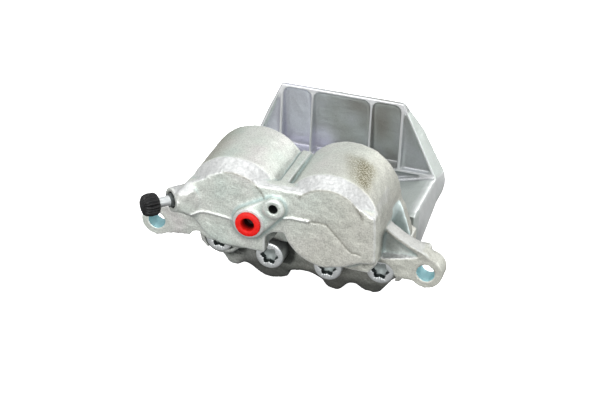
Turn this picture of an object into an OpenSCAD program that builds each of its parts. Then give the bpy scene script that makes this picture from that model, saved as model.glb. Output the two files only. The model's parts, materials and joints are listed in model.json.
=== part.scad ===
// Two-piston floating brake caliper: a cylinder housing with two guide ears, bolted by
// four six-lobe screws to a bridge casting that carries the ribbed outer leg.
// Millimetres. +X from one ear to the other, +Y along the pistons towards the outer leg,
// +Z away from the bridge. The origin is midway between the two ear holes, on the ears'
// outer faces.

/* [Guide ears] */
// Distance between the two ear holes
ear_pitch = 170; // [150:1:190]
// Thickness of an ear along the piston axis
ear_t = 12.6; // [8:0.2:18]
// Radius of the round end of an ear
ear_r = 10; // [8:0.5:13]
// Radius of an ear hole, for an M10 guide bolt
ear_hole_r = 5.3; // [4.2:0.1:6.5]

/* [Cylinder housing] */
// Distance between the two cylinder axes
cyl_pitch = 58.2; // [54:0.2:64]
// Height of the cylinder axes above the ear holes
cyl_z = 30.3; // [26:0.1:36]
// Outer radius of a cylinder barrel
cyl_r = 30; // [27:0.5:34]
// Radius of the end face of a barrel, inside its chamfer
face_r = 23.4; // [20:0.2:27]
// Position of the closed end face
face_y = -21.5; // [-30:0.5:-16]
// Position of the shoulder where the end chamfer stops
shoulder_y = -14.4; // [-20:0.2:-8]
// Position of the open mouths of the bores
mouth_y = 31; // [26:0.5:36]
// Radius of the two bores
bore_r = 21.05; // [18:0.05:24]

/* [Bolts] */
// Distance of the outer bolts from the middle
bolt_outer_x = 52.2; // [46:0.1:58]
// Height of the outer bolts
bolt_outer_z = -17.8; // [-24:0.1:-12]
// Distance of the inner bolts from the middle
bolt_inner_x = 18.9; // [14:0.1:26]
// Height of the inner bolts
bolt_inner_z = -22.9; // [-30:0.1:-16]
// Radius of an M12 bolt's shank
bolt_r = 6; // [4:0.5:7]
// Length of a bolt under its head
bolt_len = 35; // [25:1:50]
// Position of the faces the bolt heads sit on
seat_y = 34.2; // [30:0.2:40]
// Thickness of the bolting flange
flange_t = 12; // [8:0.5:16]

/* [Outer leg and bridge] */
// Position of the rib edges that face the pistons
rim_y = 101.5; // [90:0.5:115]
// Half width of the leg along its free edge
leg_top_x = 40.6; // [30:0.2:50]
// Height of the leg's free edge
leg_top_z = 58; // [50:0.5:66]
// Half width of the leg at its widest
leg_wide_x = 65; // [55:0.5:75]
// The same on the left side, which slopes more steeply
leg_left_x = 59.4; // [50:0.2:70]
// Height at which the leg is widest
leg_wide_z = 10.5; // [4:0.5:16]
// Distance of the inner ribs from the middle
rib_x = 19.6; // [14:0.2:26]
// Thickness of a rib
rib_t = 1.7; // [1.4:0.1:4]
// Radius of the trough that clears the brake disc
trough_r = 189; // [160:1:220]

/* [Pistons] */
// Radius of a piston
piston_r = 21; // [18:0.05:24]
// How far a fully retracted piston stands out of its bore
piston_out = 7; // [4:0.5:12]
// Length of a piston
piston_len = 48; // [40:0.5:54]

/* [Bleeder and hose port] */
// Angle of the bleed screw from the ear line, towards the closed end
bleed_angle = 48.7; // [30:0.1:70]
// Height of the bleed screw
bleed_z = 28; // [20:0.5:36]
// Radius of the bleed screw's boss
bleed_boss_r = 7.8; // [6:0.1:10]
// Sideways position of the hose port
port_x = -17.2; // [-24:0.1:-10]
// Height of the hose port
port_z = 24.3; // [18:0.1:30]
// Radius of the hose port's thread, M10
port_r = 5; // [4:0.1:6]

/* [Hidden] */
$fn = 96;
eps = 0.02;
cyl_x = cyl_pitch / 2;
ear_x = ear_pitch / 2;
split_y = seat_y + flange_t;             // joint face between housing and bridge
head_h = 12;
head_r = 9;
head_y = seat_y - head_h;
bore_floor_y = face_y + 10;
piston_tip_y = mouth_y + piston_out;
seal_y = [21.5, 25];                     // groove of the piston seal
seal_r = 24.2;
boot_pocket_y = mouth_y - 4;             // counterbore that holds boot and ring
boot_pocket_r = 25.4;
groove_y = [piston_tip_y - 3.8, piston_tip_y - 1.8];
groove_r = 19.4;
bleed_end = [-67.1, -21.1];              // middle of the bleeder boss's end face
port_face_y = -25;
peg_pos = [-2.5, 36.6];
peg_r = 2.8;
dowel_r = 8;
dowel_len = 10;
trough_z = trough_r - 0.6;               // height of the trough's centre line
leg_back_y = 116;
BOLTS = [[-bolt_outer_x, bolt_outer_z], [-bolt_inner_x, bolt_inner_z],
         [bolt_inner_x, bolt_inner_z], [bolt_outer_x, bolt_outer_z]];
LOBES = [[-45.7, -34.4], [-20.6, -38], [20.6, -37.2], [45.7, -34.6]];
LOBE_R = 7;

CAST = [0.74, 0.76, 0.73];
ALLOY = [0.72, 0.72, 0.76];
STEEL = [0.78, 0.79, 0.80];
RUBBER = [0.07, 0.07, 0.07];
RED = [0.86, 0.10, 0.06];

// ---- placing helpers -------------------------------------------------------------

// A drawing in X and Z, carried along Y from y0 to y1.
module along_y(y0, y1) {
    translate([0, y1, 0]) rotate([90, 0, 0]) linear_extrude(y1 - y0) children();
}

// A drawing in Y and Z, carried along X from x0 to x1.
module along_x(x0, x1) {
    translate([x0, 0, 0]) rotate([90, 0, 90]) linear_extrude(x1 - x0) children();
}

// A round bar along Y at pos = [x, z], with radius r0 at y0 and r1 at y1.
module bar(pos, r0, y0, y1, r1 = -1) {
    translate([pos[0], y0, pos[1]]) rotate([-90, 0, 0])
        cylinder(r1 = r0, r2 = r1 < 0 ? r0 : r1, h = y1 - y0);
}

// A ring about the Y axis at x, cut from a drawing of [radius, y].
module ring(x) {
    translate([x, 0, cyl_z]) rotate([-90, 0, 0]) rotate_extrude() children();
}

// The outline of a belt round two circles. Its straight sides start just inside the
// circles, so that they cross the arcs instead of touching them.
module belt(a, ra, b, rb) {
    d = norm(b - a);
    dir = atan2(b[1] - a[1], b[0] - a[0]);
    lean = acos((ra - rb) / d);
    translate(a) circle(ra);
    translate(b) circle(rb);
    polygon([for (p = [[a, ra, lean], [b, rb, lean], [b, rb, -lean], [a, ra, -lean]])
        p[0] + 0.98 * p[1] * [cos(dir + p[2]), sin(dir + p[2])]]);
}

// A rectangle given by two opposite corners.
module box_2d(a, b) {
    translate(a) square(b - a);
}

module disc_2d(pos, r) {
    translate(pos) circle(r);
}

// Puts +Z along the bleed screw, with z = 0 on the boss's end face.
module on_bleed_axis() {
    translate([bleed_end[0], bleed_end[1], bleed_z])
        rotate([0, 90, 180 + bleed_angle]) children();
}

// ---- cylinder housing ------------------------------------------------------------

// The closed end face. Its lower edge has a notch between the cylinders.
module end_face_2d() {
    intersection() {
        disc_2d([cyl_x, cyl_z], 27.5);
        box_2d([0, 0], [cyl_x + 1, cyl_z]);
    }
    polygon([[-16, 48.6], [16, 48.6], [47, 46.6], [57.6, 41.2], [58.6, 31], [59.4, 13],
             [57.8, 11], [50, 10], [41, 5.6], [cyl_x, 2.8], [cyl_x, 12], [6, 21], [0, 20],
             [-3.5, 19.4], [-7.8, 16.2], [-7.8, 5.2], [-35, 5.2], [-41, 7.6],
             [-44.4, 9.4], [-47.2, 11.9], [-49.4, 15.2], [-51.2, 17.4], [-54, 19],
             [-58.4, 19.8],
             [-59, 30], [-58.4, 41.2], [-47, 46.6]]);
}

// Fills a barrel's outer lower corner, along the points of foot, with a side wall that
// leans inwards towards the ear.
module corner_wall(s, foot) {
    intersection() {
        along_y(shoulder_y, mouth_y)
            polygon(concat([[s * cyl_x, 1]], foot, [[s * 60, cyl_z], [s * cyl_x, cyl_z]]));
        linear_extrude(cyl_z)
            polygon([[s * cyl_x, shoulder_y - 1], [s * 59, shoulder_y - 1], [s * 56.6, 8],
                     [s * 56.6, mouth_y + 1], [s * cyl_x, mouth_y + 1]]);
    }
}

// The barrel walls behind the end face.
module barrels() {
    for (s = [-1, 1]) {
        bar([s * cyl_x, cyl_z], face_r, face_y, shoulder_y, cyl_r);
        bar([s * cyl_x, cyl_z], cyl_r, shoulder_y, mouth_y, cyl_r + 0.9);
    }
    corner_wall(1, [[54, 1], [60, 9.5]]);
    corner_wall(-1, [[-40, 1.6], [-46.4, 5.2], [-49.6, 8], [-53, 13], [-57, 15.2], [-60, 15.6]]);
    along_y(shoulder_y, mouth_y) box_2d([-2.8, 22], [2.8, 50]);
    along_x(-14, 14)
        polygon([[-19, 30], [face_y, 48.6], [-18.5, 50.4], [shoulder_y, 50.4], [-10, 46],
                 [-10, 30]]);
}

// The left arm is a plain web behind the bleeder.
module left_arm_2d() {
    polygon([[-43, -6.6], [-52, -6.6], [-57, -2.2], [-61, -2.6], [-63.4, -5.8], [-80, -8.2],
             [-85, 0], [-80, 8.2], [-43, 8.2]]);
    difference() {
        polygon([[-52, 0], [-52, 32], [-59, 26], [-83.5, 9.6], [-82, 0]]);
        disc_2d([-92, 55], 45.5);
    }
}

// The right arm is a channel: a rim along its upper edge and a strip along its foot, with
// a recess between them that gets shallower towards the ear.
module right_arm() {
    difference() {
        along_y(0, 10)
            polygon([[52, 0.8], [61, 0.8], [64.6, -2], [66.5, -6.8], [77, -7.2], [85, 0],
                     [88.4, 8.8], [84.4, 12.6], [80, 14.5], [74.6, 16.8], [67.4, 20.4],
                     [60.9, 24.5], [52, 31]]);
        intersection() {
            along_y(-1, 9)
                polygon([[56.6, 4.2], [68.4, 6.7], [80.6, 9.6], [78.4, 11.6], [74, 13.8],
                         [67, 17.4], [61, 21.1], [56.6, 24]]);
            linear_extrude(30)
                polygon([[50, -2], [50, 5.4], [58, 5.4], [82, 0.4], [82, -2]]);
        }
    }
    along_y(8.4, ear_t) box_2d([77.2, 7], [85, 14.2]);
}

module ears() {
    for (s = [-1, 1]) along_y(0, ear_t) disc_2d([s * ear_x, 0], ear_r);
    along_y(0, ear_t) left_arm_2d();
    right_arm();
}

// The flange that carries the bolt heads, with its scalloped outer edge.
module flange_2d() {
    for (i = [0 : 2]) belt(BOLTS[i], 13, BOLTS[i + 1], 13);
    for (i = [0 : 3]) belt(BOLTS[i], 12, LOBES[i], LOBE_R);
    polygon([[-65.4, -24], [65.4, -24], [67.6, -12], [67.6, 3], [64, 5], [61.5, 10.4],
             [-61.5, 10.4], [-64, 5], [-67.6, 3], [-67.6, -12]]);
    // The uneven lower edge of the lobes and the shallow valleys between them
    polygon([[-45.7, -38.4], [-37.7, -38.5], [-33.7, -40.2], [-29.5, -43.1], [-24.9, -44.9],
             [-20.2, -45.5], [-14.6, -44.2], [-10.3, -42.4], [-9.6, -39.3], [-8, -37.6],
             [-2, -36.4], [4, -36.5], [8, -37.7], [12.7, -39.8], [14.5, -42.5],
             [16.9, -44.4], [22.3, -45.2], [25, -43.6], [27.6, -40.6], [30, -38.3],
             [34.4, -38.1], [38.3, -40.3], [42.1, -41.6], [44.5, -38], [52, -20],
             [-52, -20]]);
}

module trough(y0, y1, extra = 0) {
    bar([0, trough_z], trough_r + extra, y0, y1);
}

module flange() {
    difference() {
        along_y(seat_y, split_y) flange_2d();
        trough(mouth_y, split_y + 1, 0.4);
    }
    // Webs from the barrels down to the flange
    along_y(24, split_y - 2) polygon([[-60, -12], [60, -12], [57, 1], [-57, 1]]);
    for (s = [-1, 1]) {
        // Gusset from the barrel's side out to the flange's corner
        along_y(23, mouth_y)
            polygon([[s * 51, 48], [s * 63.1, 26.6], [s * 67.2, 15.6], [s * 68.8, 9],
                     [s * 67, 2], [s * 60, -2], [s * 51, 2]]);
        along_y(ear_t - 4, 24)
            polygon([[s * 54, 0.4], [s * 57, 0.4], [s * 59, 3], [s * 59, 12], [s * 54, 12]]);
    }
    // Webs beside the outer bolts; the left one wraps round its bolt's head
    along_y(20, split_y)
        polygon([[54, -20], [60, -22.4], [65.2, -21.8], [67.2, -18.4], [67.2, -10], [62, -4],
                 [59, 0], [59, 8], [54, 8]]);
    along_y(24, split_y)
        polygon([[-54, -20], [-57.4, -24.6], [-60.6, -26.4], [-64.8, -22.7], [-66, -17.4],
                 [-65, -12], [-61.4, -8], [-59, 0], [-59, 8], [-54, 8]]);
    bar(BOLTS[0], 13.6, 28, split_y - 1);
}

// Carries the bleeder's boss on to the end face, with a sloping top.
module bleeder_pad() {
    intersection() {
        linear_extrude(42)
            polygon([[-62, -13], [-62.6, -24.2], [-60.8, -25.4], [-56, -24.8], [-48.6, -21.4],
                     [-48.6, -13]]);
        along_x(-63, -48)
            polygon([[-13, 41.5], [-21.2, 41.5], [-25.2, 34.8], [-26, 31], [-26, 26],
                     [-24, 22], [-21, 20.6], [-13, 20.6]]);
        along_y(-27, -12)
            polygon([[-62.6, 20.6], [-62.6, 35.6], [-58.6, 39.6], [-54.2, 40.8],
                     [-51.4, 37.4], [-49.2, 33], [-49.2, 24], [-52, 20.6]]);
    }
}

module housing_passages() {
    for (s = [-1, 1]) {
        bar([s * cyl_x, cyl_z], bore_r, bore_floor_y, mouth_y + 1);
        bar([s * cyl_x, cyl_z], seal_r, seal_y[0], seal_y[1]);
        bar([s * cyl_x, cyl_z], boot_pocket_r, boot_pocket_y, mouth_y + 1);
        bar([s * ear_x, 0], ear_hole_r, -1, ear_t + 1);
        bar([s * bolt_outer_x, bolt_outer_z], dowel_r, split_y - dowel_len / 2, split_y + 1);
    }
    for (b = BOLTS) {
        bar(b, bolt_r + 0.5, seat_y - 1, split_y + 1);
        bar(b, head_r + 1.6, -30, seat_y);
    }
    // Hose port, its drilling into the left bore, and the hole for the hose's peg
    bar([port_x, port_z], port_r, port_face_y - 1, -14);
    bar([port_x, port_z], 2, -15, bore_floor_y + 1);
    bar(peg_pos, peg_r, port_face_y - 1, -15);
    // Slanted drilling between the two bores, made through the left bore's mouth
    translate([0, -3, cyl_z]) rotate([0, 90, -35]) cylinder(r = 2, h = 26, center = true);
    // Bleeder counterbore, thread, seat and drilling into the left bore
    on_bleed_axis() {
        translate([0, 0, -3]) cylinder(r = 5, h = 4);
        translate([0, 0, -15]) cylinder(r = 4, h = 13);
        translate([0, 0, -17.5]) cylinder(r1 = 1.75, r2 = 4, h = 2.5);
        translate([0, 0, -27.5]) cylinder(r = 1.75, h = 11);
    }
}

module cylinder_housing() {
    color(CAST) difference() {
        union() {
            along_y(face_y, shoulder_y + 1) end_face_2d();
            barrels();
            ears();
            flange();
            bar([port_x, port_z], 9.5, port_face_y, face_y + 1);
            bar(peg_pos, 6, port_face_y, face_y + 1);
            along_y(port_face_y + 1.1, face_y + 1) belt([port_x, port_z], 10, peg_pos, 6.6);
            on_bleed_axis() translate([0, 0, -20]) cylinder(r = bleed_boss_r, h = 20);
            bleeder_pad();
        }
        housing_passages();
    }
}

// ---- bridge casting with the outer leg -------------------------------------------

module leg_front_2d() {
    polygon([[-leg_top_x, leg_top_z], [leg_top_x, leg_top_z], [leg_wide_x, leg_wide_z],
             [leg_wide_x - 1, -12], [1 - leg_wide_x, -12], [-63, 4],
             [-leg_left_x, leg_wide_z]]);
}

module leg_back_2d() {
    polygon([[-42, 61], [42, 61], [68.5, 8], [69.2, 1], [68, -6], [66.6, -12], [-66, -12],
             [-65, -2], [-62, 8]]);
}

// The leg thins towards its free edge.
module leg_blank() {
    intersection() {
        hull() {
            along_y(rim_y, rim_y + 0.1) leg_front_2d();
            along_y(leg_back_y - 0.1, leg_back_y) leg_back_2d();
        }
        along_x(-80, 80) polygon([[rim_y, 70], [rim_y, -12], [109, -12], [leg_back_y, -5],
                                  [leg_back_y, 12], [112.6, 38], [104, leg_top_z],
                                  [103, 70]]);
    }
}

// The wide pockets between the upright ribs.
module wide_pockets_2d() {
    half = rib_t / 2;
    top = leg_top_z - 1.8;
    corner = 4.5;
    for (x = [[-leg_top_x + half + 0.6, -rib_x - half], [-rib_x + half, rib_x - half],
              [rib_x + half, leg_top_x - half - 0.6]]) {
        box_2d([x[0], 12], [x[1], top - corner]);
        box_2d([x[0] + corner, 12], [x[1] - corner, top]);
        for (c = [x[0] + corner, x[1] - corner]) disc_2d([c, top - corner], corner);
    }
}

module pockets() {
    side = leg_top_x + rib_t / 2;
    intersection() {
        along_y(rim_y - 1, leg_back_y) wide_pockets_2d();
        along_x(-50, 50) polygon([[rim_y - 1, 70], [rim_y + 1.6, 60], [111.5, 11],
                                  [rim_y - 1, 11]]);
    }
    // Shallow pockets in the corners
    intersection() {
        along_y(rim_y - 1, 108) {
            polygon([[side, leg_top_z - 4], [side, 12], [leg_wide_x - 2.6, 12]]);
            polygon([[-side, leg_top_z - 6], [-side, 12], [1.8 - leg_left_x, 12]]);
        }
        along_x(-80, 80) polygon([[rim_y - 1, 60], [rim_y + 1.4, 58], [rim_y + 3.4, 11],
                                  [rim_y - 1, 11]]);
    }
    // Wedges between the corner pockets and the trough
    intersection() {
        along_y(rim_y - 1, rim_y + 2.6) for (s = [-1, 1])
            polygon([[s * 24, 10.4], [s * 61, 10.4], [s * 61, 0], [s * 24, 0]]);
        trough(rim_y - 2, 111, -1.5);
    }
}

// The curved bridge over the disc, with a deep rail along each side.
module bridge_slab() {
    along_y(split_y, 109) intersection() {
        disc_2d([0, trough_z], trough_r + 16);
        box_2d([-65, -30], [65, 9.6]);
    }
    for (s = [-1, 1]) along_x(s > 0 ? 56 : -65.6, s > 0 ? 65.6 : -56)
        polygon([[split_y, -26], [64, -24], [109, -12.6], [leg_back_y, -6],
                 [leg_back_y, 6], [rim_y, 9], [split_y, 10]]);
}

module bridge_frame() {
    color(ALLOY) difference() {
        union() {
            leg_blank();
            bridge_slab();
            difference() {
                along_y(split_y, split_y + 9) flange_2d();
                along_y(split_y - 1, 60) box_2d([-80, -9], [80, 40]);
            }
            for (i = [0 : 3]) {
                bar(BOLTS[i], 12, split_y, 74);
                bar(LOBES[i], LOBE_R, split_y, 66, 5);
            }
        }
        difference() {
            trough(split_y - 1, leg_back_y + 1);
            along_y(rim_y, leg_back_y + 2) box_2d([-80, -20], [80, 60]);
        }
        pockets();
        for (b = BOLTS) bar(b, bolt_r + 0.05, split_y - 1, seat_y + bolt_len + 2);
        for (s = [-1, 1])
            bar([s * bolt_outer_x, bolt_outer_z], dowel_r, split_y - 1, split_y + dowel_len / 2);
    }
}

// ---- bolts and dowels ------------------------------------------------------------

// A six-lobe socket across 11 mm.
module six_lobe_2d() {
    circle(4);
    for (a = [0 : 60 : 300]) rotate(a) translate([4.25, 0]) circle(1.35);
}

module bridge_bolt(i) {
    p = BOLTS[i];
    color(STEEL) difference() {
        union() {
            bar(p, head_r - 0.8, head_y, head_y + 0.8, head_r);
            bar(p, head_r, head_y + 0.8, seat_y);
            bar(p, bolt_r, seat_y - eps, seat_y + bolt_len - 1.2);
            bar(p, bolt_r, seat_y + bolt_len - 1.2, seat_y + bolt_len, bolt_r - 1.2);
        }
        translate([p[0], head_y - 1, p[1]]) rotate([-90, 15 * i, 0])
            linear_extrude(6.5) six_lobe_2d();
        bar(p, 6.2, head_y - eps, head_y + 0.9, 5.2);
    }
}

module dowel_sleeve(s) {
    pos = [s * bolt_outer_x, bolt_outer_z];
    color(STEEL) difference() {
        bar(pos, dowel_r, split_y - dowel_len / 2, split_y + dowel_len / 2);
        bar(pos, bolt_r + 0.5, split_y - dowel_len, split_y + dowel_len);
    }
}

// ---- pistons, seals and boots ----------------------------------------------------

module piston(s) {
    tip = piston_tip_y;
    back = tip - piston_len;
    color(STEEL) ring(s * cyl_x)
        polygon([[0, back], [piston_r - 1.5, back], [piston_r, back + 1.5],
                 [piston_r, groove_y[0]], [groove_r, groove_y[0]], [groove_r, groove_y[1]],
                 [piston_r, groove_y[1]], [piston_r, tip - 0.6], [piston_r - 0.6, tip],
                 [16.4, tip], [15.6, tip - 0.8], [15.6, back + 9], [13.6, back + 7],
                 [0, back + 7]]);
}

module piston_seal(s) {
    color(RUBBER) ring(s * cyl_x)
        polygon([[bore_r, seal_y[0]], [seal_r, seal_y[0]], [seal_r, seal_y[1]],
                 [bore_r, seal_y[1]]]);
}

// A folded boot: bead under the ring, one fold outwards, and a lip in the piston's groove.
module dust_boot(s) {
    y0 = boot_pocket_y;
    lip = groove_y[0];
    color(RUBBER) ring(s * cyl_x)
        polygon([[boot_pocket_r, y0], [boot_pocket_r, y0 + 2], [23, y0 + 2], [23, y0 + 4.6],
                 [24.8, y0 + 5.6], [24.8, lip + 2.6], [23.4, lip + 3.4], [21.6, lip + 1.9],
                 [groove_r + 0.1, lip + 1.9], [groove_r + 0.1, lip + 0.1],
                 [21.9, lip + 0.1], [23.3, lip + 1.6], [23.6, lip + 1.2], [23.6, y0 + 6.4],
                 [21.8, y0 + 5.4], [21.8, y0]]);
}

module boot_ring(s) {
    y0 = boot_pocket_y + 2;
    color(STEEL) ring(s * cyl_x)
        polygon([[23.2, y0], [boot_pocket_r, y0], [boot_pocket_r, mouth_y],
                 [24.6, mouth_y], [24.6, y0 + 0.9], [23.2, y0 + 0.9]]);
}

// ---- bleed screw, cap and port plug ----------------------------------------------

module bleed_screw() {
    color(STEEL) on_bleed_axis() difference() {
        union() {
            translate([0, 0, -17]) cylinder(r1 = 1.2, r2 = 3.95, h = 3);
            translate([0, 0, -14]) cylinder(r = 3.95, h = 11.2);
            translate([0, 0, -2.8]) cylinder(r = 8 / sqrt(3), h = 4.4, $fn = 6);
            translate([0, 0, 1.5]) cylinder(r = 3.05, h = 7.7);
            translate([0, 0, 9]) cylinder(r = 2.1, h = 3);
            translate([0, 0, 10.6]) cylinder(r1 = 2.1, r2 = 3.1, h = 1.4);
            translate([0, 0, 12]) cylinder(r1 = 3.1, r2 = 2.3, h = 4.2);
        }
        translate([0, 0, -12]) cylinder(r = 1, h = 30);
        translate([0, 0, -12]) rotate([90, 0, 0]) cylinder(r = 1, h = 12, center = true);
    }
}

module bleed_cap() {
    color(RUBBER) on_bleed_axis() difference() {
        union() {
            translate([0, 0, 9.6]) cylinder(r = 6.9, h = 7);
            translate([0, 0, 16.6]) cylinder(r1 = 6.9, r2 = 5.2, h = 2);
        }
        translate([0, 0, 9]) cylinder(r = 3.15, h = 8);
        for (a = [0 : 15 : 345]) rotate(a) translate([7.1, 0, 9]) cylinder(r = 0.45, h = 7.4);
    }
}

module hose_port_plug() {
    pos = [port_x, port_z];
    color(RED) difference() {
        union() {
            bar(pos, 7.1, port_face_y - 1.8, port_face_y - 1.2, 7.75);
            bar(pos, 7.75, port_face_y - 1.2, port_face_y);
            bar(pos, port_r - 0.05, port_face_y - eps, port_face_y + 9);
        }
        bar(pos, 3.9, port_face_y - 3, port_face_y + 7.5);
    }
}

cylinder_housing();
bridge_frame();
bridge_bolt(0);  // bridge_bolt_1
bridge_bolt(1);  // bridge_bolt_2
bridge_bolt(2);  // bridge_bolt_3
bridge_bolt(3);  // bridge_bolt_4
dowel_sleeve(-1);  // dowel_sleeve_left
dowel_sleeve(1);  // dowel_sleeve_right
piston(-1);  // piston_left
piston(1);  // piston_right
piston_seal(-1);  // piston_seal_left
piston_seal(1);  // piston_seal_right
dust_boot(-1);  // dust_boot_left
dust_boot(1);  // dust_boot_right
boot_ring(-1);  // boot_ring_left
boot_ring(1);  // boot_ring_right
bleed_screw();
bleed_cap();
hose_port_plug();
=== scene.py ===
"""The looks of a two-piston floating brake caliper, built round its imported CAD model."""

import json
import math

import bmesh
import bpy
import numpy as np
from mathutils import Matrix, Vector


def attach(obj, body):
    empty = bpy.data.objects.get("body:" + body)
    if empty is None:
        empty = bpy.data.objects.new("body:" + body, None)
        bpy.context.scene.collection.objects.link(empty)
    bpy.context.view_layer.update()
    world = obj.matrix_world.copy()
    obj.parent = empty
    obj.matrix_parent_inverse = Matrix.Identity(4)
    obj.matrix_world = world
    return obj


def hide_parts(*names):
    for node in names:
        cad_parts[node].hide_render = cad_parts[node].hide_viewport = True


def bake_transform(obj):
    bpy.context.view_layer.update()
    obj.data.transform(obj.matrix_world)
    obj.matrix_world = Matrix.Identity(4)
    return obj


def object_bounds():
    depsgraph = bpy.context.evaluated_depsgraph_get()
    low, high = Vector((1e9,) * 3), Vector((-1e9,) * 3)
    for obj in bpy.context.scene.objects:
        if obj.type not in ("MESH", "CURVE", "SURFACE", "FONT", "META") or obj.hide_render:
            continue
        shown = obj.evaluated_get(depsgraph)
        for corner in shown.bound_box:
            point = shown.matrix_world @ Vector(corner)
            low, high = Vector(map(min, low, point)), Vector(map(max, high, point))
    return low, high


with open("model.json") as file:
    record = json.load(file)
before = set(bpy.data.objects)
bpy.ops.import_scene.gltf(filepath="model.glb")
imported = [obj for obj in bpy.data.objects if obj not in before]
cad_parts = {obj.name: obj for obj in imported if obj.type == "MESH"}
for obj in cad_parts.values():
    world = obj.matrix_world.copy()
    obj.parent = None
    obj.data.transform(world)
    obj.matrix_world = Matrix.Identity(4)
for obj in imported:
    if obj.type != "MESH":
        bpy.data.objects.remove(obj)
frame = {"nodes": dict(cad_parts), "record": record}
cad_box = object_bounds()

MM = 0.001
NODES = frame["nodes"]

# ---- dimensions shared with the CAD model, in millimetres --------------------------

CYL_X, CYL_Z = 29.1, 30.3           # cylinder axes
MOUTH_Y = 31.0                      # the barrels' open ends
EAR_X = 85.0
PORT, PEG, PORT_Y = (-17.2, 24.3), (-2.5, 36.6), -25.0
BOLTS = [(-52.2, -17.8), (-18.9, -22.9), (18.9, -22.9), (52.2, -17.8)]
SPLIT_Y, HEAD_Y = 46.2, 22.2        # the castings' joint, and the bolt heads' faces
RIM_Y = 101.5                       # machined rib edges of the outer leg
BLEED_END = np.array([-67.1, -21.1, 28.0])
BLEED_ANGLE = math.radians(180 + 48.7)
BLEED_DIR = np.array([math.cos(BLEED_ANGLE), math.sin(BLEED_ANGLE), 0.0])

# ---- how the castings' meshes are made ---------------------------------------------

VOXEL = 0.62                        # millimetres
HOUSING_STEPS, BRIDGE_STEPS = 46, 40
FILL, WEAR = 0.5, 0.07              # share of the way moved per step, outwards and inwards
NORMALS_EVERY = 6                   # steps
TRIANGLES = 190000                  # the most kept by each casting
CELL, MARGIN = 1.5, 16              # millimetres, of the grid that measures crowding
REACHES = (4.5, 9.0)                # millimetres looked ahead

# ---- small maths -------------------------------------------------------------------


def smoothstep(x, lo, hi):
    t = np.clip((x - lo) / (hi - lo), 0, 1)
    return t * t * (3 - 2 * t)


def waves(p, seed, scale, count=14):
    """Smooth pseudo-random field of about -1..1, with features near scale millimetres."""
    rng = np.random.default_rng(seed)
    out = np.zeros(len(p))
    for _ in range(count):
        k = rng.normal(size=3)
        k *= rng.uniform(0.6, 1.5) * 2 * math.pi / (scale * np.linalg.norm(k))
        out += np.sin(p @ k + rng.uniform(0, 2 * math.pi))
    return out / math.sqrt(count)


def near_path(p, path):
    """Distance in X and Z from points p to a broken line of (x, z)."""
    best = np.full(len(p), 1e9)
    q = p[:, [0, 2]]
    for s, e in zip(path[:-1], path[1:]):
        s, e = np.array(s, float), np.array(e, float)
        t = np.clip(((q - s) @ (e - s)) / ((e - s) @ (e - s)), 0, 1)
        best = np.minimum(best, np.linalg.norm(q - s - t[:, None] * (e - s), axis=1))
    return best


def reach(p, centre):
    return np.hypot(p[:, 0] - centre[0], p[:, 2] - centre[1])


def along_bleeder(p):
    """Position along the bleed screw from its boss's end, and distance from its axis."""
    q = p - BLEED_END
    t = q @ BLEED_DIR
    return t, np.linalg.norm(q - t[:, None] * BLEED_DIR, axis=1)


# ---- mesh helpers ------------------------------------------------------------------


def link(name, data):
    obj = bpy.data.objects.new(name, data)
    bpy.context.scene.collection.objects.link(obj)
    return obj


def apply_modifier(obj, kind, **settings):
    mod = obj.modifiers.new(kind.lower(), kind)
    for key, value in settings.items():
        setattr(mod, key, value)
    graph = bpy.context.evaluated_depsgraph_get()
    graph.update()
    mesh = bpy.data.meshes.new_from_object(obj.evaluated_get(graph), depsgraph=graph)
    obj.modifiers.clear()
    old = obj.data
    obj.data = mesh
    bpy.data.meshes.remove(old)


def get_co(mesh):
    """Vertex positions in millimetres."""
    co = np.empty(len(mesh.vertices) * 3)
    mesh.vertices.foreach_get("co", co)
    return co.reshape(-1, 3) / MM


def set_co(mesh, co):
    mesh.vertices.foreach_set("co", (co * MM).ravel())
    mesh.update()


def get_normals(mesh):
    n = np.empty(len(mesh.vertices) * 3)
    mesh.vertex_normals.foreach_get("vector", n)
    return n.reshape(-1, 3)


def put_mask(mesh, name, values):
    layer = mesh.attributes.new(name, "FLOAT", "POINT")
    layer.data.foreach_set("value", np.asarray(values, np.float32))


def relax(mesh, steps, hold):
    """Fills inner corners into fillets and rounds outer corners a little.

    hold is 0 where the surface is machined and stays as it is, 1 on raw casting, and
    more than 1 where outer corners are well rounded.
    """
    co = get_co(mesh)
    edges = np.empty(len(mesh.edges) * 2, int)
    mesh.edges.foreach_get("vertices", edges)
    a, b = edges.reshape(-1, 2).T
    count = np.bincount(np.r_[a, b], minlength=len(co))[:, None].clip(1)
    for step in range(steps):
        if step % NORMALS_EVERY == 0:
            set_co(mesh, co)
            normal = get_normals(mesh)
        total = np.stack([
            np.bincount(a, co[b, k], len(co)) + np.bincount(b, co[a, k], len(co))
            for k in range(3)], 1)
        pull = total / count - co
        inward = (pull * normal).sum(1) < 0
        rate = np.where(inward, WEAR * hold, FILL * np.minimum(hold, 1))
        co += pull * rate[:, None]
    set_co(mesh, co)


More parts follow.
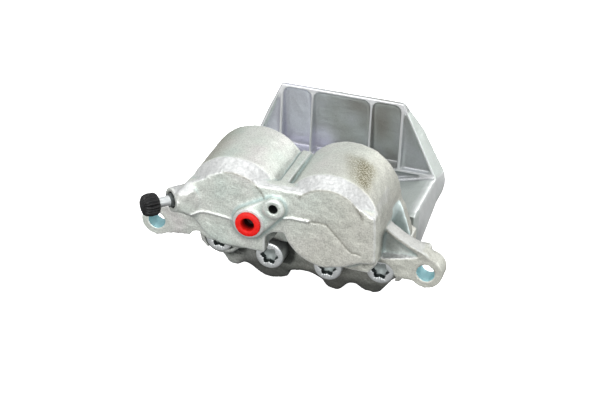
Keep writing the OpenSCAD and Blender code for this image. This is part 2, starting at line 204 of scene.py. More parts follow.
def crowding(points, at, normals):
    """How closely surfaces crowd in front of each place: 0 in the open, 1 in a deep hollow;
    it sets where shade is painted.
    """
    low = points.min(0) - MARGIN
    size = np.ceil((points.max(0) + MARGIN - low) / CELL).astype(int)
    index = ((points - low) / CELL).astype(int)
    grid = np.zeros(size)
    np.add.at(grid, tuple(index.T), 1.0)
    spectrum = np.fft.rfftn(grid)
    axes = [np.fft.fftfreq(size[0]), np.fft.fftfreq(size[1]), np.fft.rfftfreq(size[2])]
    total = 0
    for r in REACHES:
        sigma = r * 0.55 / CELL
        blur = spectrum
        for k, f in enumerate(axes):
            shape = [1, 1, 1]
            shape[k] = len(f)
            blur = blur * np.exp(-2 * (math.pi * sigma * f) ** 2).reshape(shape)
        smooth = np.fft.irfftn(blur, size)
        ahead = ((at + normals * r * 1.1 - low) / CELL).astype(int)
        density = smooth[tuple(np.clip(ahead, 0, size - 1).T)] * r
        total = total + np.clip(density / np.median(density) - 1.0, 0, 6)
    return np.clip(total / (2.2 * len(REACHES)), 0, 1)


def cast_copy(node, name, steps, hold_of):
    """A raw-cast copy of a CAD node: fine even mesh with fillets in its inner corners."""
    obj = link(name, NODES[node].data.copy())
    apply_modifier(obj, "REMESH", mode="VOXEL", voxel_size=VOXEL * MM)
    mesh = obj.data
    before = get_co(mesh)
    relax(mesh, steps, hold_of(before))
    moved = ((get_co(mesh) - before) * get_normals(mesh)).sum(1)
    # the fillet mask carries painted shade and teal reflection in inner corners
    put_mask(mesh, "fillet", smoothstep(moved, 0.08, 0.7))
    # the edge mask carries a painted highlight on rounded outer corners
    put_mask(mesh, "edge", smoothstep(-moved, 0.02, 0.16))
    return obj


def scale_mask(mesh, name, factor):
    layer = mesh.attributes[name]
    values = np.empty(len(mesh.vertices), np.float32)
    layer.data.foreach_get("value", values)
    layer.data.foreach_set("value", (values * factor).astype(np.float32))


def thin_out(obj):
    """Brings obj down to the number of triangles allowed."""
    triangles = sum(len(f.vertices) - 2 for f in obj.data.polygons)
    if triangles > TRIANGLES:
        apply_modifier(obj, "DECIMATE", ratio=TRIANGLES / triangles)
    obj.data.shade_smooth()


def lathe(name, rows, place, axis, steps=96, turn=0.0, sharp=32):
    """A turned solid. rows are (radius, distance) along a level axis from place.

    A radius may be a function of the angle, for hexagons, lobes and knurls.
    """
    axis = Vector(axis).normalized()
    side = Vector((0, 0, 1)).cross(axis).normalized()
    over = axis.cross(side)
    angles = [2 * math.pi * i / steps + turn for i in range(steps)]
    points = []
    for radius, distance in rows:
        for a in angles:
            r = radius(a) if callable(radius) else radius
            outward = side * math.cos(a) + over * math.sin(a)
            points.append((Vector(place) + axis * distance + outward * r) * MM)
    faces = []
    last = (len(rows) - 1) * steps
    for row in range(0, last, steps):
        for i in range(steps):
            j = (i + 1) % steps
            faces.append((row + i, row + j, row + steps + j, row + steps + i))
    faces.append(tuple(range(steps - 1, -1, -1)))
    faces.append(tuple(range(last, last + steps)))
    mesh = bpy.data.meshes.new(name)
    mesh.from_pydata(points, [], faces)
    mesh.update()
    mesh.shade_smooth()
    mesh.set_sharp_from_angle(angle=math.radians(sharp))
    return link(name, mesh)


# ---- materials ---------------------------------------------------------------------


def set_stops(node, stops):
    """Gives a colour ramp its stops of (place, grey level or colour)."""
    elements = node.color_ramp.elements
    while len(elements) < len(stops):
        elements.new(0.5)
    for element, (place, colour) in zip(elements, stops):
        element.position = place
        if isinstance(colour, (int, float)):
            colour = (colour, colour, colour)
        element.color = (*colour, 1)


class Nodes:
    """Builds one material's nodes with few words."""

    def __init__(self, name):
        self.material = bpy.data.materials.new(name)
        self.material.use_nodes = True
        self.tree = self.material.node_tree
        self.shader = self.tree.nodes["Principled BSDF"]
        self.coord = self.add("ShaderNodeTexCoord").outputs["Object"]

    def add(self, kind, **settings):
        node = self.tree.nodes.new(kind)
        for key, value in settings.items():
            setattr(node, key, value)
        return node

    def put(self, socket, value):
        if isinstance(value, bpy.types.NodeSocket):
            self.tree.links.new(value, socket)
        elif isinstance(value, (tuple, list)) and socket.type == "RGBA":
            socket.default_value = (*value, 1)
        else:
            socket.default_value = value

    def set(self, **sockets):
        for key, value in sockets.items():
            self.put(self.shader.inputs[key.replace("_", " ")], value)

    def noise(self, scale, detail=3, rough=0.55):
        node = self.add("ShaderNodeTexNoise")
        self.put(node.inputs["Vector"], self.coord)
        node.inputs["Scale"].default_value = scale
        node.inputs["Detail"].default_value = detail
        node.inputs["Roughness"].default_value = rough
        return node.outputs["Fac"]

    def ramp(self, value, *stops):
        node = self.add("ShaderNodeValToRGB")
        set_stops(node, stops)
        self.put(node.inputs["Fac"], value)
        return node.outputs["Color"]

    def mix(self, a, b, factor, blend="MIX"):
        node = self.add("ShaderNodeMix", data_type="RGBA", blend_type=blend)
        self.put(node.inputs["Factor"], factor)
        self.put(node.inputs[6], a)
        self.put(node.inputs[7], b)
        return node.outputs[2]

    def math(self, operation, a, b=0.0):
        node = self.add("ShaderNodeMath", operation=operation)
        self.put(node.inputs[0], a)
        self.put(node.inputs[1], b)
        return node.outputs[0]

    def mask(self, name, strength=1.0):
        fac = self.add("ShaderNodeAttribute", attribute_name=name).outputs["Fac"]
        return self.math("MULTIPLY", fac, strength)

    def axis(self, letter):
        node = self.add("ShaderNodeSeparateXYZ")
        self.put(node.inputs[0], self.coord)
        return node.outputs[letter]

    def bump(self, height, distance, strength=1.0):
        node = self.add("ShaderNodeBump")
        self.put(node.inputs["Height"], height)
        node.inputs["Distance"].default_value = distance
        node.inputs["Strength"].default_value = strength
        self.put(self.shader.inputs["Normal"], node.outputs["Normal"])


def plated_casting():
    """Zinc plate over sand-cast iron: grainy pale grey, from green to warm tints."""
    m = Nodes("plated_casting")
    tint = m.ramp(m.noise(34, 2), (0.34, (0.57, 0.64, 0.59)), (0.45, (0.61, 0.65, 0.60)),
                  (0.56, (0.63, 0.65, 0.61)), (0.68, (0.65, 0.64, 0.62)))
    base = m.mix(tint, (0.55, 0.55, 0.49), m.mask("warm", 0.8))
    grain = m.ramp(m.noise(1150, 3, 0.7), (0.34, 0.62), (0.5, 1.0), (0.66, 1.30))
    base = m.mix(base, grain, 0.6, "MULTIPLY")
    blotch = m.ramp(m.noise(150, 4, 0.6), (0.38, 0.93), (0.62, 1.04))
    base = m.mix(base, blotch, 0.35, "MULTIPLY")
    # painted shade and teal reflection: a darker teal tint in the inner corners
    base = m.mix(base, (0.36, 0.53, 0.53), m.mask("fillet", 0.5))
    # painted highlight: paler on the rounded outer corners
    base = m.mix(base, (0.86, 0.89, 0.88), m.mask("edge", 0.45))
    chalk = m.ramp(m.noise(650, 3, 0.65), (0.36, (0.49, 0.50, 0.50)),
                   (0.56, (0.60, 0.61, 0.61)))
    base = m.mix(base, chalk, m.mask("bright", 0.92))
    speck = m.ramp(m.noise(1250, 2, 0.6), (0.43, 0.0), (0.52, 1.0))
    base = m.mix(base, (0.38, 0.36, 0.26), m.mask("stain", 0.7))
    base = m.mix(base, (0.13, 0.115, 0.06),
                 m.math("MULTIPLY", m.mask("stain", 1.0), speck))
    # painted light: pale bluish, lifting the shade in the right arm's channel and on its
    # gusset
    base = m.mix(base, (0.80, 0.92, 0.91), m.mask("painted_light", 0.9))
    # painted shadow: thin dark lines along the end face's outline and crease
    base = m.mix(base, (0.14, 0.13, 0.10), m.mask("line", 0.8))
    # painted reflection: cyan on the ear holes' walls
    base = m.mix(base, (0.40, 0.72, 0.78), m.mask("sleeve", 0.85))
    # painted shade: near black in hollows, down the flange and under the barrels
    base = m.mix(base, (0.022, 0.024, 0.022), m.mask("painted_shade", 0.95))
    rough = m.ramp(m.noise(300, 4), (0.3, 0.40), (0.7, 0.54))
    # less specular sheen where shade is painted
    shine = m.math("SUBTRACT", 0.5, m.mask("painted_shade", 0.45))
    m.set(Base_Color=base, Roughness=rough, Metallic=0.55, Specular_IOR_Level=shine)
    height = m.math("ADD", m.noise(900, 4, 0.65), m.math("MULTIPLY", m.noise(230, 3), 1.2))
    pitch = 1.25 * MM
    turns = m.math("SINE", m.math("MULTIPLY", m.axis("Y"), 2 * math.pi / pitch))
    height = m.math("ADD", height, m.math("MULTIPLY", turns, m.mask("sleeve", 1.5)))
    m.bump(height, 0.00030, 0.5)
    return m.material


def bridge_casting():
    """The bridge's plate: smoother and greyer, with darker clouds, sides painted paler as
    if lit, and painted reflections in the pockets: brownish patches and a lavender patch.
    """
    m = Nodes("bridge_casting")
    tint = m.ramp(m.noise(26, 3, 0.6), (0.34, (0.34, 0.345, 0.33)),
                  (0.48, (0.42, 0.44, 0.44)), (0.60, (0.48, 0.50, 0.52)),
                  (0.72, (0.52, 0.53, 0.56)))
    # painted reflection: dark brownish patches in the pockets
    tint = m.mix(tint, (0.25, 0.235, 0.21), m.mask("painted_dark_reflection", 0.75))
    # painted light and reflection: a pale lavender patch, and the left pocket paler
    tint = m.mix(tint, (0.74, 0.74, 0.86), m.mask("pale", 0.8))
    # painted light: paler side faces, and the paler tint in front of the rims
    base = m.mix(tint, (0.69, 0.75, 0.71), m.mask("outer", 0.85))
    grain = m.ramp(m.noise(1200, 3, 0.7), (0.35, 0.86), (0.65, 1.10))
    base = m.mix(base, grain, 0.5, "MULTIPLY")
    # bright machined rims, and painted light on the leg's lower side wall
    base = m.mix(base, (0.93, 0.93, 0.95), m.mask("rim", 0.9))
    # painted highlight: paler on the rounded outer corners
    base = m.mix(base, (0.88, 0.90, 0.90), m.mask("edge", 0.5))
    # painted shade in the bridge's hollows and low down
    base = m.mix(base, (0.10, 0.11, 0.11), m.mask("painted_shade", 0.7))
    rough = m.ramp(m.noise(260, 4), (0.3, 0.30), (0.7, 0.44))
    m.set(Base_Color=base, Roughness=rough, Metallic=0.6)
    m.bump(m.math("ADD", m.noise(700, 4, 0.6), m.noise(160, 3)), 0.00025, 0.35)
    return m.material


def metal(name, low, high, rough, metallic=0.85):
    """Steel from tint low to high, with painted shade in the socket and its floor painted
    paler, as if partly lit.
    """
    m = Nodes(name)
    scale = 500
    tint = m.ramp(m.noise(scale, 4, 0.6), (0.3, low), (0.7, high))
    # painted shade: near black in sockets and counterbores
    tint = m.mix(tint, (0.03, 0.04, 0.04), m.mask("socket", 0.97))
    # the socket's floor painted paler, as if partly lit
    tint = m.mix(tint, (0.42, 0.47, 0.46), m.mask("floor", 1.0))
    m.set(Base_Color=tint, Metallic=metallic,
          Roughness=m.ramp(m.noise(scale * 0.6, 3), (0.3, rough - 0.06),
                           (0.7, rough + 0.08)))
    m.bump(m.noise(scale * 2.2, 3), 0.00010, 0.5)
    return m.material


def soft(name, low, high, rough, scale=600, depth=0.0001, stops=(0.35, 0.7)):
    """Rubber or plastic from tint low to high, with painted shade, nearly black, deep
    inside.
    """
    m = Nodes(name)
    tint = m.ramp(m.noise(scale, 4), (stops[0], low), (stops[1], high))
    m.set(Specular_IOR_Level=0.35,
          # painted shade, near black, deep inside
          Base_Color=m.mix(tint, (0.004, 0.001, 0.001), m.mask("deep", 0.97)),
          Roughness=m.ramp(m.noise(scale, 3), (0.3, rough - 0.08), (0.7, rough + 0.1)))
    m.bump(m.noise(scale * 2, 4), depth, 0.6)
    return m.material


def paint(obj, material):
    obj.data.materials.clear()
    obj.data.materials.append(material)


def hand_over(obj, node, slot, body):
    """obj stands for a CAD node, in its body and material."""
    paint(obj, MATERIALS[slot])
    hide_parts(node)
    if body:
        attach(obj, body)


# ---- cylinder housing --------------------------------------------------------------


def housing_hold(p):
    """1 on raw casting, 0 where the housing is machined."""
    y, z = p[:, 1], p[:, 2]
    hold = np.ones(len(p))
    for s in (-1, 1):
        ear = reach(p, (s * EAR_X, 0))
        hold *= smoothstep(ear, 5.9, 8.5)
        hold *= 1 - 0.85 * (ear > 8) * (ear < 10.6) * (y < 0.9)
        hold *= 1 - (reach(p, (s * CYL_X, CYL_Z)) < 26.2) * (y > -14)
    hold *= 1 - (reach(p, PORT) < 10.4) * (y < -24.2)
    hold *= 1 - 0.8 * (reach(p, PEG) < 4.2) * (y < -20)
    hold *= 1 - (y > SPLIT_Y - 0.8) * (z < 10)
    for b in BOLTS:
        hold *= 1 - 0.85 * (reach(p, b) < 11.2)
    hold *= 1 - 0.85 * (reach(p, (-59.5, -5)) < 6) * (y < 14)
    t, r = along_bleeder(p)
    return hold * (1 - (t > -3.5) * (r < 5.8))


# Fine lines of (x, z) on the end face.
LEFT_RIDGE = [(-54, 21.8), (-50.9, 23.1), (-47.7, 24.4), (-44, 24.7), (-35, 24.0),
              (-27.5, 23.0)]
MIDDLE_RIDGE = [(3.6, 30.6), (8, 31.6), (13.6, 31.3), (18.5, 31.4)]
RIGHT_CREASE = [(18.5, 31.4), (24.5, 31.8), (29.1, 31.4), (34.3, 26.5), (40.9, 19.8),
                (44.1, 16.7), (50, 16.0)]
LEFT_CREASE = [(-44.8, 22), (-43.2, 18), (-37.5, 17.6), (-30, 18)]
# Each line with its height and half width, in millimetres.
FACE_LINES = [(LEFT_RIDGE, 0.6, 0.6), (MIDDLE_RIDGE, 0.8, 0.7),
              (RIGHT_CREASE, -0.22, 0.75), (LEFT_CREASE, -0.12, 0.9)]
OUTLINE_R = 23.0                    # of the painted shadow line round the end face, from each axis


def fettled(p, n):
    """1 on the ground chamfer round the end face."""
    slope = smoothstep(-n[:, 1], 0.26, 0.42) * (1 - smoothstep(-n[:, 1], 0.84, 0.93))
    slope *= smoothstep(n[:, 2], 0.02, 0.15)
    place = smoothstep(p[:, 1], -22.3, -21.2) * (1 - smoothstep(p[:, 1], -14.8, -13.6))
    inside = smoothstep(p[:, 0], -58, -50)
    return slope * place * inside * (p[:, 2] > 36)


def housing_shape(mesh):
    """Fine lines, uneven cast skin and the rough ground band."""
    p, n = get_co(mesh), get_normals(mesh)
    front = (n[:, 1] < -0.6) * (p[:, 1] < -19)
    for path, height, width in FACE_LINES:
        d = near_path(p, path)
        p = p + n * (front * height * np.exp(-(d / width) ** 2))[:, None]
    skin = (0.10 - 0.05 * front) * waves(p, 1, 9)
    skin = skin + (0.055 - 0.02 * front) * waves(p, 2, 3.2)
    skin *= housing_hold(p)
    skin += fettled(p, n) * (0.10 * waves(p, 3, 2.2) + 0.09 * waves(p, 4, 5))
    set_co(mesh, p + n * skin[:, None])


def turn_about(p, side):
    """Angle about a barrel's axis, in degrees from its top towards +X."""
    return np.degrees(np.arctan2(p[:, 0] - side * CYL_X, p[:, 2] - CYL_Z))


def right_channel(p):
    """True in the channel of the right arm."""
    x, y, z = p.T
    return (x > 55.5) * (x < 82) * (y < 12.4) * (z > 3)


def bright_mask(p, n):
    """Plate that was ground, machined or rubbed bright."""
    x, y, z = p.T
    t, r = along_bleeder(p)
    boss = (t > -14) * (t < -1) * (r < 9) * smoothstep(n[:, 2], 0.2, 0.7)
    pad = (x < -48) * (x > -64) * (y < -20.6) * (z > 30) * smoothstep(n[:, 2], 0.2, 0.5)
    port = smoothstep(reach(p, PORT), 7.2, 8.2) * (reach(p, PORT) < 9.9) * (y < -24.6)
    foot = z < 7.0 + 0.24 * (x - 56)
    arm = right_channel(p) * smoothstep(n[:, 2], 0.2, 0.6) * np.where(foot, 1.0, 0.6)
    ridges = [0.8 * np.exp(-(near_path(p, path) / 0.6) ** 2) * (y < -21)
              for path in (LEFT_RIDGE, MIDDLE_RIDGE)]
    return np.maximum.reduce([fettled(p, n), boss, pad, 0.8 * port, arm, *ridges])


def painted_shadow_line_mask(p, n):
    """Painted shadow: thin dark lines on the end face, along its outline by the barrels and
    in the crease.
    """
    line = 0.8 * np.exp(-(near_path(p, RIGHT_CREASE) / 0.5) ** 2)
    for side, first, last in ((-1, -10, 62), (1, -45, 66)):
        a = turn_about(p, side)
        span = smoothstep(a, first - 8, first) * (1 - smoothstep(a, last, last + 8))
        r = reach(p, (side * CYL_X, CYL_Z))
        line = np.maximum(line, np.exp(-((r - OUTLINE_R) / 0.6) ** 2) * span)
    return line * smoothstep(-n[:, 1], 0.6, 0.9) * (p[:, 1] < -20.5)


def sleeve_mask(p, n):
    """True on the walls of the ear holes."""
    ear = np.minimum(reach(p, (EAR_X, 0)), reach(p, (-EAR_X, 0)))
    return (ear < 6.3) * (np.abs(n[:, 1]) < 0.5)


def stain_mask(p):
    """Brown stain over the right barrel, and fainter down the left barrel's side."""
    x, y, z = p.T
    across = (turn_about(p, 1) - 24 - 0.5 * (2 - y)) / (17 + 0.25 * np.clip(y - 2, -14, 10))
    stain = np.exp(-np.abs(across) ** 4) * np.exp(-np.abs((y - 1) / 14) ** 6)
    stain *= 0.55 + 0.45 * smoothstep(across, -0.5, 0.3)
    side = 0.45 * smoothstep(-turn_about(p, -1), 8, 45) * (y > -13) * (x < 0)
    return np.maximum(stain * (x > 10), side) * (z > 34)


def painted_shade_mask(p, n, crowd):
    """Deep painted shade: in hollows, down the flange, under the barrels, on their outer
    sides and in the peg hole.
    """
    x, y, z = p.T
    low = 0.38 * smoothstep(-z, -2, 14) + 0.34 * smoothstep(-z, 20, 30) + \
        0.20 * smoothstep(-z, 31, 38) + 0.5 * smoothstep(-n[:, 2], 0.2, 0.7)
    low *= smoothstep(y, 14, 24) * (1 - 0.45 * smoothstep(-x, 38, 46))
    facing = smoothstep(-n[:, 1], -0.1, 0.5) + smoothstep(-n[:, 2], 0.3, 0.8)
    low *= np.clip(facing, 0.35, 1)
    # painted shadow in the counterbore round the second bolt's head
    bolt_shadow = np.exp(-(np.clip(reach(p, BOLTS[1]) - 10.6, 0, 99) / 2.6) ** 2)
    bolt_shadow *= (z > -33) * smoothstep(y, -16, -2)
    arm = smoothstep(x, 52, 58) * smoothstep(z, -9, -5)
    crowd = crowd * (1 - 0.8 * arm) * (1 - 0.6 * smoothstep(z, 26, 34))
    crowd = crowd * (1 - sleeve_mask(p, n))
    # painted shade down the barrels' outer sides
    shade = 0.05 + 0.17 * smoothstep(turn_about(p, 1), 25, 60) * (x > 0) + \
        0.10 * smoothstep(-turn_about(p, -1), 5, 45) * (x < 0)
    shade = (y > -13) * (y < MOUTH_Y) * (z > 8) * shade
    # painted shade in the peg hole
    peg = (reach(p, PEG) < 3.0) * (y > -24.3)
    return np.clip(crowd + low * (1 - arm) + bolt_shadow + shade + peg, 0, 1)


def painted_light_mask(p, n):
    """Painted light, pale bluish, inside the right arm's shaded channel and on its gusset.
    """
    x, y, z = p.T
    recess = right_channel(p) * (1 - smoothstep(n[:, 2], 0.2, 0.6)) * (y > 1.2) * (z < 24)
    gusset = (x > 55.5) * (y > 12.4) * (y < 24.5) * (z > 3) * (z < 32)
    return np.clip(0.45 * recess + 1.0 * gusset, 0, 1)


def housing_masks(mesh, crowd):
    p, n = get_co(mesh), get_normals(mesh)
    put_mask(mesh, "bright", bright_mask(p, n))
    put_mask(mesh, "line", painted_shadow_line_mask(p, n))
    put_mask(mesh, "warm", smoothstep(p[:, 0] - 0.5 * p[:, 2], -25, 25))
    put_mask(mesh, "sleeve", sleeve_mask(p, n))
    put_mask(mesh, "stain", stain_mask(p))
    put_mask(mesh, "painted_shade", painted_shade_mask(p, n, crowd))
    put_mask(mesh, "painted_light", painted_light_mask(p, n))


# ---- bridge and outer leg ----------------------------------------------------------


def bridge_hold(p):
    """As housing_hold, and well over 1 on the side rails, whose corners are round."""
    x, y, z = p.T
    hold = np.ones(len(p))
    hold *= 1 - (y < SPLIT_Y + 0.8)
    hold *= 1 - 0.9 * ((y < RIM_Y + 0.7) * (y > RIM_Y - 1) * (z > -2))
    for b in BOLTS:
        hold *= 1 - (reach(p, b) < 7.4)
    rail = (np.abs(x) > 54) * (y > 52) * (y < RIM_Y - 2) * (z > -4)
    return np.where(rail, 5.5, hold)


def bridge_shape(mesh):
    """Uneven cast skin."""
    p, n = get_co(mesh), get_normals(mesh)
    skin = 0.07 * waves(p, 5, 11) + 0.035 * waves(p, 6, 4)
    set_co(mesh, p + n * (skin * np.minimum(bridge_hold(p), 1))[:, None])


def bridge_masks(mesh, crowd):
    p, n = get_co(mesh), get_normals(mesh)
    x, y, z = p.T
    width = np.abs(x)
    rail = (width > 54) * (z < 9) * (y > 50)
    # less painted highlight on the rails' edges
    scale_mask(mesh, "edge", 1 - 0.85 * rail)

    machined = smoothstep(-n[:, 1], 0.75, 0.95) * (np.abs(y - RIM_Y) < 0.7) * (z > 0)
    # painted light: the leg's lower side wall made near white; the machined rims are bright
    # metal
    wall = smoothstep(n[:, 0], 0.5, 0.8) * (z < 10) * (y > 60)
    put_mask(mesh, "rim", np.maximum(machined, 0.55 * wall))

    # painted light: the side faces paler, as if lit from the side; the part in front of the
    # rims' plane gets the same paler tint
    sides = smoothstep(np.abs(n[:, 0]), 0.35, 0.7) * (width > 44)
    slab = 1 - smoothstep(y + 0.4 * z, 100, 104)
    put_mask(mesh, "outer", np.maximum(sides, slab))

    pocket = (y > RIM_Y + 0.3) * (1 - smoothstep(n[:, 1], 0.0, 0.4)) * (z > 10.5)

    def patch(at_x, at_z, wide, high):
        spread = ((x - at_x) / wide) ** 2 + ((z - at_z) / high) ** 2
        return np.exp(-spread) * pocket

    # painted reflection: dark brownish patches on the pocket floors
    put_mask(mesh, "painted_dark_reflection", np.clip(patch(10, 50, 9, 7) + patch(26, 40, 8, 16), 0, 1))
    # painted light and reflection: the left pocket paler, and a pale lavender patch
    left = smoothstep(-x, 18, 22) * pocket
    put_mask(mesh, "pale", np.clip(1.3 * patch(-14, 20, 8, 10) + 0.6 * left, 0, 1))

    # painted shade: darker towards the bottom, in crowded hollows, and on the rails'
    # rounded edge to dim its highlight
    low = smoothstep(-z, -2, 14) + smoothstep(-z, 20, 32)
    low *= 1 - smoothstep(y, 60, 84)
    round_edge = smoothstep(np.abs(n[:, 0]), 0.05, 0.35) * smoothstep(n[:, 2], 0.15, 0.5)
    round_edge *= rail * (width > 61)
    painted_shade = crowd * (1 - smoothstep(y, 80, 96)) + 0.6 * low + 0.5 * round_edge
    put_mask(mesh, "painted_shade", np.clip(painted_shade, 0, 1))


def build_castings():
    housing = cast_copy("cylinder_housing", "housing_casting", HOUSING_STEPS, housing_hold)
    bridge = cast_copy("bridge_frame", "bridge_casting", BRIDGE_STEPS, bridge_hold)
    housing_shape(housing.data)
    bridge_shape(bridge.data)
    everything = np.vstack([get_co(housing.data), get_co(bridge.data)])
    for obj, masks in ((housing, housing_masks), (bridge, bridge_masks)):
        mesh = obj.data
        masks(mesh, crowding(everything, get_co(mesh), get_normals(mesh)))
        thin_out(obj)
    hand_over(housing, "cylinder_housing", "plated_casting", "housing")
    hand_over(bridge, "bridge_frame", "bridge_casting", "housing")


# ---- bolts -------------------------------------------------------------------------


def six_lobe(base, depth):
    """Radius by angle of a six-lobe socket."""
    def radius(a):
        wave = math.cos(6 * a)
        return base + depth * wave ** 3 * 0.6 + depth * 0.4 * wave
    return radius


BOLT_ROWS = [
    (0.3, 47), (4.8, 47), (6, 45.8), (6, 12), (9, 12), (9, 1.3), (8.75, 0.5), (8.2, 0.08),
    (7.9, 0), (six_lobe(5.35, 0.85), 0), (six_lobe(5.0, 0.85), 0.2),
    (six_lobe(4.8, 0.85), 0.7), (six_lobe(4.75, 0.85), 3.4), (six_lobe(3.6, 0.2), 3.5),
    (1.6, 3.8), (0.3, 4.0)]


def build_bolts():
    for i, (x, z) in enumerate(BOLTS):
        bolt = lathe(f"bolt_{i + 1}", BOLT_ROWS, (x, HEAD_Y, z), (0, 1, 0), 144,
                     turn=math.radians(12 * i))
        p = get_co(bolt.data)
        r, depth = reach(p, (x, z)), p[:, 1] - HEAD_Y
        # painted shade: the socket's lobes and the head's flank down in the counterbore;
        # its floor painted paler
        inside = (r < 5.9) * (depth > 0.15) * (depth < 7)
        flank = 0.93 * (r > 8.4) * smoothstep(depth, 0.9, 2.2) * (depth < 12.5)
        put_mask(bolt.data, "socket", np.maximum(inside, flank))
        put_mask(bolt.data, "floor", inside * (r < 3.9))
        hand_over(bolt, f"bridge_bolt_{i + 1}", "plated_steel", "housing")


# ---- bleed screw, cap and plug -----------------------------------------------------


def hexagon(a):
    """Radius by angle of the bleed screw's 8 mm hexagon."""
    return 4.0 / math.cos((a + math.pi / 6) % (math.pi / 3) - math.pi / 6)


def build_bleeder():
    rows = [(0.3, -16.9), (1.2, -17), (3.9, -14), (3.9, -2.9), (hexagon, -2.8),
            (hexagon, 1.2), (3.6, 1.7), (3.1, 1.75), (3.02, 2.2), (3.05, 8.6), (2.7, 9.1),
            (2.1, 9.2), (2.1, 10.7), (3.05, 12), (2.3, 16.1), (1.9, 16.2), (1.0, 16.2),
            (1.0, 15), (0.3, 15)]
    screw = lathe("bleeder", rows, BLEED_END, BLEED_DIR)
    t = along_bleeder(get_co(screw.data))[0]
    # painted shadow, near black, on the hexagon where the screw enters its boss
    put_mask(screw.data, "socket", (t < 1.75) * (t > -3) * 0.9)
    hand_over(screw, "bleed_screw", "plated_steel", "bleeder")


CAP_RIBS, RIB_SEED = 20, 8


def knurl(base, depth, seed):
    """Radius by angle of coarse moulded ribs, none quite like the next."""
    rng = np.random.default_rng(RIB_SEED)
    heights = depth * rng.uniform(0.4, 1.3, CAP_RIBS)
    lean = rng.uniform(-0.12, 0.12, CAP_RIBS)
    lumps = np.random.default_rng(seed).uniform(-0.16, 0.16, CAP_RIBS)

    def radius(a):
        step = (a / (2 * math.pi) * CAP_RIBS) % CAP_RIBS
        k = int(step)
        wave = 0.5 - 0.5 * math.cos(2 * math.pi * (step - k + lean[k]))
        return base + (heights[k] + lumps[k]) * wave ** 0.7
    return radius


def build_cap():
    profile = [(6.1, 0.35, 9.9), (6.15, 0.8, 10.8), (6.2, 0.9, 12), (6.25, 0.85, 13.2),
               (6.25, 0.9, 14.4), (6.2, 0.8, 15.6), (6.0, 0.8, 16.6), (5.5, 0.8, 17.5),
               (4.8, 0.7, 18.2), (3.9, 0.6, 18.75), (2.8, 0.45, 19.1)]
    rows = [(3.15, 16.8), (3.15, 9.55), (3.9, 9.5), (5.8, 9.5)]
    rows += [(knurl(r, depth, k), t) for k, (r, depth, t) in enumerate(profile)]
    rows += [(1.5, 19.3), (0.3, 19.35)]
    cap = lathe("cap", rows, BLEED_END, BLEED_DIR, 240, sharp=75)
    hand_over(cap, "bleed_cap", "black_rubber", "cap")


def build_plug():
    rows = [(0.3, 9.9), (4.2, 9.9), (4.95, 9.2), (4.95, 0.02), (7.6, 0), (7.75, -0.25),
            (7.75, -1.0), (7.45, -1.55), (6.9, -1.8), (5.0, -1.95), (4.55, -1.85),
            (4.2, -1.5), (3.95, -0.6), (3.7, 4), (3.6, 7.2), (0.3, 7.4)]
    plug = lathe("plug", rows, (PORT[0], PORT_Y, PORT[1]), (0, 1, 0))
    p = get_co(plug.data)
    # painted shade, near black, inside the plug's hollow
    inside = (reach(p, PORT) < 4.05) * smoothstep(p[:, 1], -25.8, -24)
    put_mask(plug.data, "deep", inside)
    hand_over(plug, "hose_port_plug", "red_plastic", "port_plug")


# ---- pistons and boots -------------------------------------------------------------


def drop_ends(mesh):
    """Opens a turned mesh by its two end faces, and joins its seams."""
    work = bmesh.new()
    work.from_mesh(mesh)
    ends = [face for face in work.faces if len(face.verts) > 4]
    bmesh.ops.delete(work, geom=ends, context="FACES_ONLY")
    bmesh.ops.remove_doubles(work, verts=work.verts, dist=1e-6)
    bmesh.ops.recalc_face_normals(work, faces=work.faces)
    work.to_mesh(mesh)
    work.free()


def build_boot(side):
    """A folded boot from the housing's counterbore to the piston's groove."""
    x = CYL_X * (1 if side == "right" else -1)
    outer = [(25.3, 27.1), (25.3, 29), (24.2, 29.6), (23.9, 31.4), (24.7, 32.3),
             (25.1, 33.2), (24.7, 34.2), (23.3, 34.5), (22.6, 35.1), (22.9, 36.1),
             (22.4, 36.9), (21.4, 36.6), (19.6, 36.1)]
    inner = [(19.6, 34.4), (21.2, 34.4), (21.9, 34.9), (21.9, 34.1), (22.4, 33.6),
             (23.5, 33.2), (23.6, 32.7), (22.8, 31.6), (22.6, 29.4), (21.5, 28.6),
             (21.5, 27.1)]
    rows = outer + inner + [outer[0]]
    boot = lathe(f"boot_{side}", rows, (x, 0, CYL_Z), (0, 1, 0), sharp=50)
    drop_ends(boot.data)
    hand_over(boot, f"dust_boot_{side}", "black_rubber", None)
    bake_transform(boot)


# ---- stage, light and camera -------------------------------------------------------


SKY = [(0.0, 0.01), (0.2, 0.14), (0.42, 0.52), (0.6, 0.68), (1.0, 0.85)]   # from below up
AIM = (0, 0.03, 0.02)
# Area lights: name, place and size in metres, and power in watts.
LIGHTS = [
    ("key", (-0.15, -0.45, 1.05), (0.9, 0.7), 4.1),
    ("front", (-0.10, -1.20, 0.30), (0.9, 0.6), 10),
    ("back", (0.70, 0.80, 0.75), (1.1, 1.1), 6),
    ("right", (1.30, 0.05, 0.25), (0.8, 0.6), 5),
]
FLOOR_HALF, FLOOR_GAP = 8.0, 0.0005                 # metres
CAMERA_PLACE = (0.24802, -0.79829, 0.47516)         # metres
CAMERA_ANGLES = (16.86, 27.95, 2.72)                # azimuth, elevation and roll, degrees
CAMERA_LENS, CAMERA_SENSOR = 96.1, 36               # millimetres
CAMERA_CLIP = (0.01, 50)                            # metres


def build_floor():
    low = cad_box[0].z - FLOOR_GAP
    mesh = bpy.data.meshes.new("floor")
    half = FLOOR_HALF
    mesh.from_pydata([(-half, -half, low), (half, -half, low), (half, half, low),
                      (-half, half, low)], [], [(0, 1, 2, 3)])
    floor = link("floor", mesh)
    m = Nodes("floor")
    m.set(Base_Color=m.ramp(m.noise(3, 2), (0.3, 0.90), (0.7, 0.94)), Roughness=0.9,
          Emission_Color=(1, 1, 1), Emission_Strength=1.0)
    paint(floor, m.material)
    floor.visible_diffuse = False
    floor.visible_glossy = False


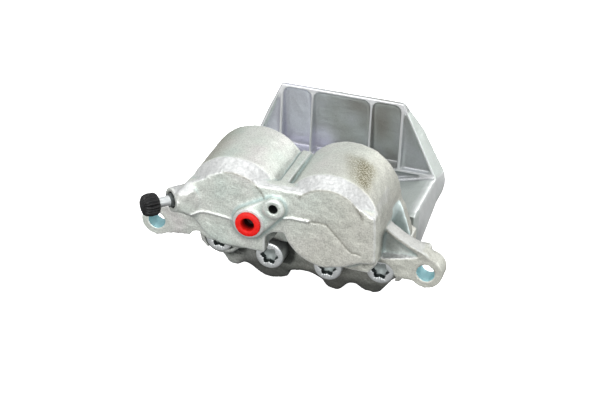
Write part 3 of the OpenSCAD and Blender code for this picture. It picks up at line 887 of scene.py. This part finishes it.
def build_sky():
    """A white tent, brightest overhead and dim below."""
    world = bpy.data.worlds.new("studio")
    world.use_nodes = True
    tree = world.node_tree
    back = tree.nodes["Background"]
    coord = tree.nodes.new("ShaderNodeTexCoord")
    split = tree.nodes.new("ShaderNodeSeparateXYZ")
    ramp = tree.nodes.new("ShaderNodeValToRGB")
    scale = tree.nodes.new("ShaderNodeMapRange")
    scale.inputs["From Min"].default_value = -1
    tree.links.new(coord.outputs["Generated"], split.inputs[0])
    tree.links.new(split.outputs["Z"], scale.inputs["Value"])
    tree.links.new(scale.outputs["Result"], ramp.inputs["Fac"])
    tree.links.new(ramp.outputs["Color"], back.inputs["Color"])
    set_stops(ramp, SKY)
    bpy.context.scene.world = world


def build_lights():
    for name, place, size, power in LIGHTS:
        data = bpy.data.lights.new(name, "AREA")
        data.shape = "RECTANGLE"
        data.size, data.size_y = size
        data.energy = power
        lamp = link(name, data)
        lamp.location = place
        aim = Vector(AIM) - Vector(place)
        lamp.rotation_euler = aim.to_track_quat("-Z", "Y").to_euler()
    bpy.context.scene.view_settings.view_transform = "Standard"


def build_camera():
    """A long lens looking down at the closed end from the right, rolled slightly."""
    azimuth, elevation, roll = (math.radians(v) for v in CAMERA_ANGLES)
    back = Vector((math.sin(azimuth) * math.cos(elevation),
                   -math.cos(azimuth) * math.cos(elevation), math.sin(elevation)))
    right = Vector((math.cos(azimuth), math.sin(azimuth), 0))
    up = back.cross(right)
    right, up = (right * math.cos(roll) + up * math.sin(roll),
                 up * math.cos(roll) - right * math.sin(roll))
    data = bpy.data.cameras.new("camera")
    data.sensor_width = CAMERA_SENSOR
    data.lens = CAMERA_LENS
    data.clip_start, data.clip_end = CAMERA_CLIP
    camera = link("camera", data)
    turn = Matrix((right, up, back)).transposed().to_4x4()
    camera.matrix_world = Matrix.Translation(CAMERA_PLACE) @ turn
    bpy.context.scene.camera = camera


MATERIALS = {
    "plated_casting": plated_casting(),
    "bridge_casting": bridge_casting(),
    "plated_steel": metal("plated_steel", (0.66, 0.70, 0.71), (0.84, 0.86, 0.86), 0.36,
                          0.7),
    "bright_steel": metal("bright_steel", (0.58, 0.58, 0.57), (0.70, 0.70, 0.69), 0.26),
    "black_rubber": soft("black_rubber", (0.003, 0.003, 0.003), (0.022, 0.023, 0.025),
                         0.36, 1400, 0.0003, (0.45, 0.72)),
    "red_plastic": soft("red_plastic", (0.60, 0.004, 0.002), (0.78, 0.010, 0.005), 0.5),
}

for part in frame["record"]["subparts"]:
    paint(NODES[part["node"]], MATERIALS[part["material_slot"]])

build_camera()
build_floor()
build_sky()
build_lights()
build_castings()
build_bolts()
build_bleeder()
build_cap()
build_plug()
build_boot("left")
build_boot("right")
